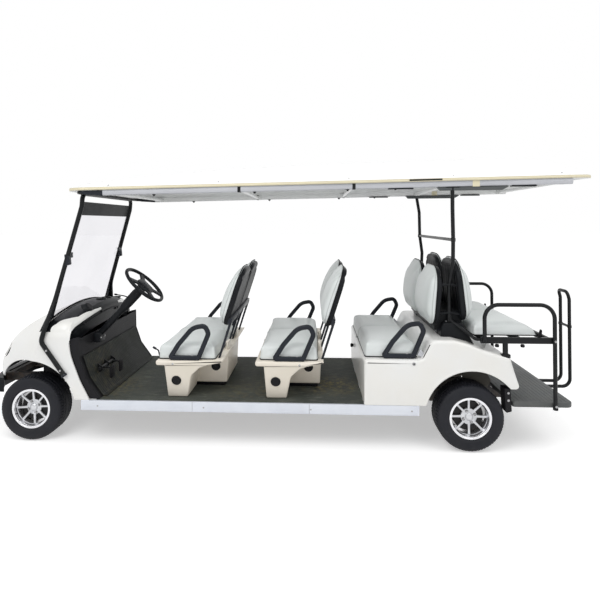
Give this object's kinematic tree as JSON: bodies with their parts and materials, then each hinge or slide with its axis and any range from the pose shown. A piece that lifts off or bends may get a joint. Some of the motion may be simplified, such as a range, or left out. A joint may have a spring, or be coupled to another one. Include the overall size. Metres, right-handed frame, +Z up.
{
  "type": "electric passenger cart",
  "caption": "Long open electric passenger cart with a roof, windscreen, forward benches, one rear-facing bench, footstep and grab rails.",
  "frame": {"origin": "on the ground, at the middle of the box around the whole cart", "axes": "+X towards the cart's tail, +Y to its right-hand side, +Z up; the cart faces -X"},
  "size_m": [4.5174, 1.24, 2.0519],
  "materials": {
    "tyre_rubber": "black rubber, slightly dusty",
    "alloy_rim": "silver painted alloy with a polished lip",
    "running_gear": "dark paint, dusty",
    "black_steel": "black powder coat",
    "floor_rubber": "ribbed dark grey-green mat, scuffed",
    "sill_metal": "brushed bluish-white metal",
    "white_panel": "glossy white moulding",
    "roof_white": "white moulded roof with a cream rim",
    "roof_rail": "grey extruded gutter rail",
    "black_plastic": "grained black moulding",
    "cream_panel": "cream moulding",
    "seat_vinyl": "light grey-white vinyl with stitched seams",
    "step_plastic": "dark grey moulded step",
    "lamp_lens": "clear lens over a bright reflector",
    "clear_screen": "clear sheet with a black band at the top"
  },
  "bodies": {
    "chassis": {"front_axle": "running_gear", "rear_axle": "running_gear", "drive_motor": "running_gear", "chassis_frame": "black_steel", "floor_pan": "black_steel", "pedals": "black_steel", "rear_bench_frame": "black_steel", "grab_hoop": "black_steel", "front_roof_frame": "black_steel", "rear_roof_frame": "black_steel", "floor_mat": "floor_rubber", "sill_left": "sill_metal", "sill_right": "sill_metal", "front_cowl": "white_panel", "rear_body": "white_panel", "roof": "roof_white", "roof_frame": "roof_rail", "dashboard": "black_plastic", "firewall": "black_plastic", "front_bumper": "black_plastic", "steering_column": "black_plastic", "back_shell_row_1": "black_plastic", "back_shell_row_2": "black_plastic", "back_frame_rear": "black_plastic", "battery_pack": "black_plastic", "armrest_row_1_left": "black_plastic", "armrest_row_1_right": "black_plastic", "armrest_row_2_left": "black_plastic", "armrest_row_2_right": "black_plastic", "armrest_row_3_left": "black_plastic", "armrest_row_3_right": "black_plastic", "pedestal_row_1": "cream_panel", "pedestal_row_2": "cream_panel", "seat_cushion_row_1": "seat_vinyl", "seat_cushion_row_2": "seat_vinyl", "seat_cushion_rear": "seat_vinyl", "back_cushion_row_1_left": "seat_vinyl", "back_cushion_row_1_right": "seat_vinyl", "back_cushion_row_2_left": "seat_vinyl", "back_cushion_row_2_right": "seat_vinyl", "back_cushion_row_3_left": "seat_vinyl", "back_cushion_row_3_right": "seat_vinyl", "back_cushion_rear_left": "seat_vinyl", "back_cushion_rear_right": "seat_vinyl", "footstep": "step_plastic", "headlight_left": "lamp_lens", "headlight_right": "lamp_lens", "windshield": "clear_screen"},
    "knuckle_left": {"knuckle_left": "running_gear"},
    "knuckle_right": {"knuckle_right": "running_gear"},
    "wheel_front_left": {"rim_front_left": "alloy_rim", "tyre_front_left": "tyre_rubber"},
    "wheel_front_right": {"rim_front_right": "alloy_rim", "tyre_front_right": "tyre_rubber"},
    "wheel_rear_left": {"rim_rear_left": "alloy_rim", "tyre_rear_left": "tyre_rubber"},
    "wheel_rear_right": {"rim_rear_right": "alloy_rim", "tyre_rear_right": "tyre_rubber"},
    "steering_wheel": {"steering_wheel": "black_plastic"},
    "seat_lid": {"seat_cushion_row_3": "seat_vinyl"}
  },
  "joints": [
    {"name": "steer_left", "type": "hinge", "parent": "chassis", "child": "knuckle_left", "pos_m": [-1.78375, -0.325, 0.2295], "axis": [0, 0, 1], "range_deg": [-28, 28]},
    {"name": "steer_right", "type": "hinge", "parent": "chassis", "child": "knuckle_right", "pos_m": [-1.78375, 0.325, 0.2295], "axis": [0, 0, 1], "range_deg": [-28, 28]},
    {"name": "steering", "type": "hinge", "parent": "chassis", "child": "steering_wheel", "pos_m": [-1.02875, -0.29, 1.1], "axis": [0.682, 0, 0.7314], "range_deg": [-480, 480]},
    {"name": "roll_front_left", "type": "hinge", "parent": "knuckle_left", "child": "wheel_front_left", "pos_m": [-1.78375, -0.4525, 0.2295], "axis": [0, -1, 0], "continuous": true},
    {"name": "roll_front_right", "type": "hinge", "parent": "knuckle_right", "child": "wheel_front_right", "pos_m": [-1.78375, 0.4525, 0.2295], "axis": [0, -1, 0], "continuous": true},
    {"name": "roll_rear_left", "type": "hinge", "parent": "chassis", "child": "wheel_rear_left", "pos_m": [1.33625, -0.49, 0.2295], "axis": [0, -1, 0], "continuous": true},
    {"name": "roll_rear_right", "type": "hinge", "parent": "chassis", "child": "wheel_rear_right", "pos_m": [1.33625, 0.49, 0.2295], "axis": [0, -1, 0], "continuous": true},
    {"name": "seat_lid_lift", "type": "hinge", "parent": "chassis", "child": "seat_lid", "pos_m": [0.62125, 0, 0.6303], "axis": [0, -1, 0], "range_deg": [0, 78]}
  ],
  "couplings": [
    {"joint": "steer_right", "follows": "steer_left", "ratio": 1},
    {"joint": "steering", "follows": "steer_left", "ratio": 17.1}
  ]
}
